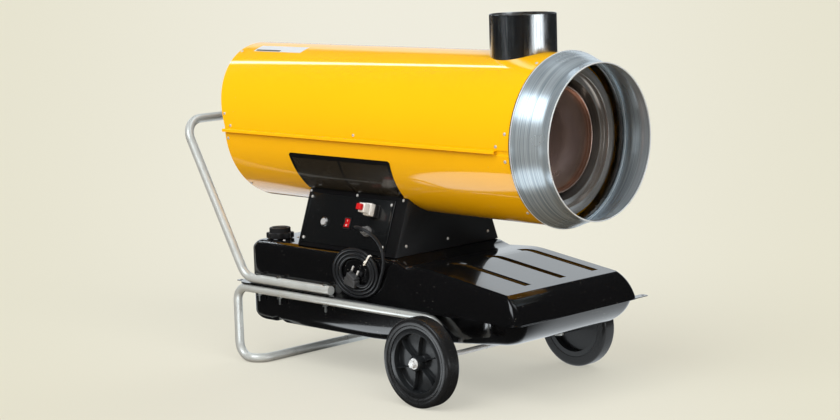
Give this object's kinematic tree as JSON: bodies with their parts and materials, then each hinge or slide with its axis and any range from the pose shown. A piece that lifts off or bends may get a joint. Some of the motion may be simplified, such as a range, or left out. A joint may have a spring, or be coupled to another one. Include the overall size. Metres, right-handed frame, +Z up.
{
  "type": "indirect oil-fired space heater",
  "caption": "Wheeled cylindrical warm-air heater with an outlet cone, a top flue, a fuel tank base, side controls, a tube handle and a coiled power cord.",
  "frame": {"origin": "on the floor below the middle of the heater's overall length and width, cord left out", "axes": "+X along the casing towards the warm air outlet, +Z up, -Y the side with the controls and the cord"},
  "size_m": [1.1998, 0.594, 0.855],
  "materials": {
    "yellow_paint": "gloss",
    "black_paint": "gloss",
    "black_sheet": "satin",
    "galvanised": "satin",
    "stainless": "polished",
    "heated_steel": "satin, heat tinted",
    "exchanger_steel": "satin",
    "zinc": "satin",
    "cast_pump": "matte",
    "brass": "satin",
    "copper": "satin",
    "motor_paint": "satin",
    "black_plastic": "matte",
    "grey_plastic": "matte",
    "white_plastic": "satin",
    "ceramic": "satin",
    "red_plastic": "gloss",
    "tyre_rubber": "matte",
    "cord_rubber": "satin",
    "hose_rubber": "matte"
  },
  "bodies": {
    "heater": {"upper_casing": "yellow_paint", "lower_casing": "yellow_paint", "front_ring": "galvanised", "rear_ring": "galvanised", "outlet_cone": "galvanised", "combustion_chamber": "heated_steel", "heat_exchanger": "exchanger_steel", "flue_pipe": "stainless", "fan_guard": "black_paint", "fan_motor": "motor_paint", "motor_bracket": "galvanised", "burner_housing": "motor_paint", "burner_tube": "heated_steel", "flame_disc": "heated_steel", "ignition_electrodes": "ceramic", "fuel_nozzle": "brass", "fuel_pump": "cast_pump", "control_housing": "black_sheet", "control_panel": "black_sheet", "reset_bezel": "black_plastic", "power_switch_frame": "black_plastic", "thermostat_socket": "black_plastic", "cable_gland": "grey_plastic", "tank_upper": "black_paint", "tank_lower": "black_paint", "drain_plug": "zinc", "filler_neck": "black_paint", "handle_frame": "galvanised", "stand_frame": "galvanised", "axle": "zinc", "axle_nut_left": "zinc", "axle_nut_right": "zinc", "component_tray": "galvanised", "ignition_transformer": "motor_paint", "burner_control": "grey_plastic", "fuel_filter": "zinc", "suction_pipe": "copper", "fuel_hose": "hose_rubber", "cord_lead": "cord_rubber", "cord_coil": "cord_rubber", "cord_tie": "white_plastic", "power_plug": "black_plastic", "frame_bolt_1": "zinc", "frame_bolt_2": "zinc", "frame_bolt_3": "zinc", "frame_bolt_4": "zinc", "frame_bolt_5": "zinc", "frame_bolt_6": "zinc"},
    "right_wheel": {"wheel_right_tyre": "tyre_rubber", "wheel_right_hub": "black_plastic"},
    "left_wheel": {"wheel_left_tyre": "tyre_rubber", "wheel_left_hub": "black_plastic"},
    "rotor": {"motor_shaft": "zinc", "fan_impeller": "galvanised", "burner_fan": "galvanised"},
    "rocker": {"power_rocker": "red_plastic"},
    "reset": {"reset_button": "grey_plastic"},
    "cap": {"filler_cap": "black_plastic"},
    "thermostat": {"thermostat_plug": "white_plastic", "thermostat_plug_end": "red_plastic"}
  },
  "joints": [
    {"name": "right_wheel_spin", "type": "hinge", "parent": "heater", "child": "right_wheel", "pos_m": [0.295, 0, 0.1014], "axis": [0, 1, 0], "continuous": true},
    {"name": "left_wheel_spin", "type": "hinge", "parent": "heater", "child": "left_wheel", "pos_m": [0.295, 0, 0.1014], "axis": [0, 1, 0], "continuous": true},
    {"name": "fan_spin", "type": "hinge", "parent": "heater", "child": "rotor", "pos_m": [0, 0, 0.5804], "axis": [1, 0, 0], "continuous": true},
    {"name": "switch_rock", "type": "hinge", "parent": "heater", "child": "rocker", "pos_m": [-0.046, -0.15456, 0.36759], "axis": [1, 0, 0], "range_deg": [0, 14]},
    {"name": "reset_press", "type": "slide", "parent": "heater", "child": "reset", "axis": [0, 0.9399, -0.3414], "range_m": [0, 0.0025], "stiffness_N_per_m": 200},
    {"name": "cap_turn", "type": "hinge", "parent": "heater", "child": "cap", "pos_m": [-0.316, -0.13, 0.3], "axis": [0, 0, 1], "range_deg": [0, 90]},
    {"name": "thermostat_pull", "type": "slide", "parent": "heater", "child": "thermostat", "axis": [0, -0.9399, 0.3414], "range_m": [0, 0.03]}
  ]
}
